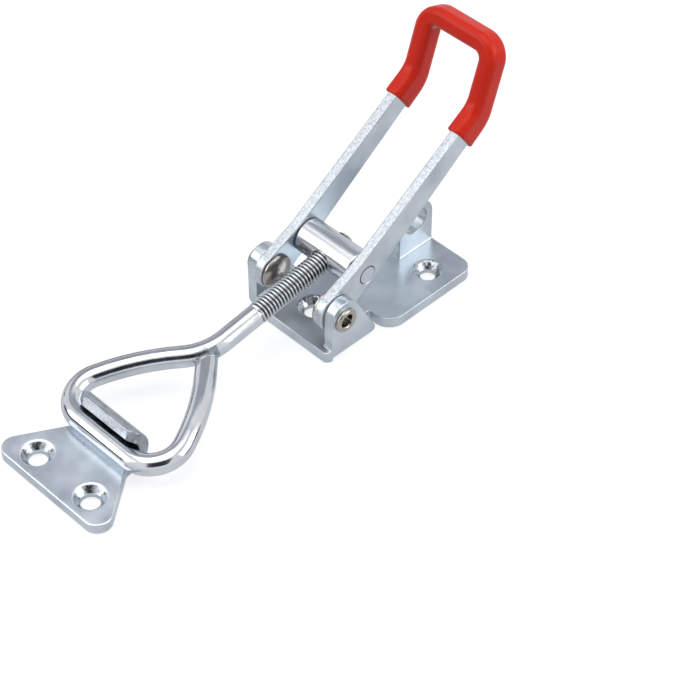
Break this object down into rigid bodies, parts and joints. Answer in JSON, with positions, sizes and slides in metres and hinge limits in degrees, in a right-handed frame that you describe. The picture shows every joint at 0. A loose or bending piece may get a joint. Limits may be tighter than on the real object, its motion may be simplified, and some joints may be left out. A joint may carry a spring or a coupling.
{
  "type": "over centre toggle latch",
  "caption": "Over centre toggle latch: folded base plate with lock tab, pivoting U handle with dipped grip, screw-adjusted loop bolt and hooked catch plate.",
  "frame": {"origin": "axis of the front screw hole in the base plate, on the mounting surface", "axes": "+X from the base plate towards the catch plate, along the pull; +Y across the latch, towards the wing with the second screw hole; +Z away from the mounting surface"},
  "size_m": [0.1441, 0.0394, 0.0659],
  "materials": {
    "zinc_sheet": "satin",
    "zinc_strip": "satin",
    "zinc_wire": "gloss",
    "turned_steel": "satin",
    "nickel_rivet": "gloss",
    "dipped_vinyl": "gloss"
  },
  "bodies": {
    "base": {"base_plate": "zinc_sheet", "pivot_rivet_left": "nickel_rivet", "pivot_rivet_right": "nickel_rivet"},
    "handle": {"handle_bar": "zinc_strip", "handle_grip": "dipped_vinyl"},
    "swivel": {"trunnion": "turned_steel"},
    "bolt": {"draw_bolt": "zinc_wire"},
    "catch": {"latch_plate": "zinc_sheet"}
  },
  "joints": [
    {"name": "handle_pivot", "type": "hinge", "parent": "base", "child": "handle", "pos_m": [0.0041, 0, 0.0118], "axis": [0, 1, 0], "range_deg": [-39.5, 45]},
    {"name": "trunnion_swing", "type": "hinge", "parent": "handle", "child": "swivel", "pos_m": [-0.00718, 0, 0.01712], "axis": [0, 1, 0], "range_deg": [-39, 35]},
    {"name": "bolt_adjust", "type": "slide", "parent": "swivel", "child": "bolt", "axis": [0.9895, 0, -0.1445], "range_m": [-0.012, 0.002]},
    {"name": "catch_tilt", "type": "hinge", "parent": "bolt", "child": "catch", "pos_m": [0.06931, 0, 0.00595], "axis": [0, 1, 0], "range_deg": [-6.5, 6]}
  ],
  "couplings": [
    {"joint": "trunnion_swing", "follows": "handle_pivot", "ratio": -0.86},
    {"joint": "catch_tilt", "follows": "handle_pivot", "ratio": -0.14}
  ]
}
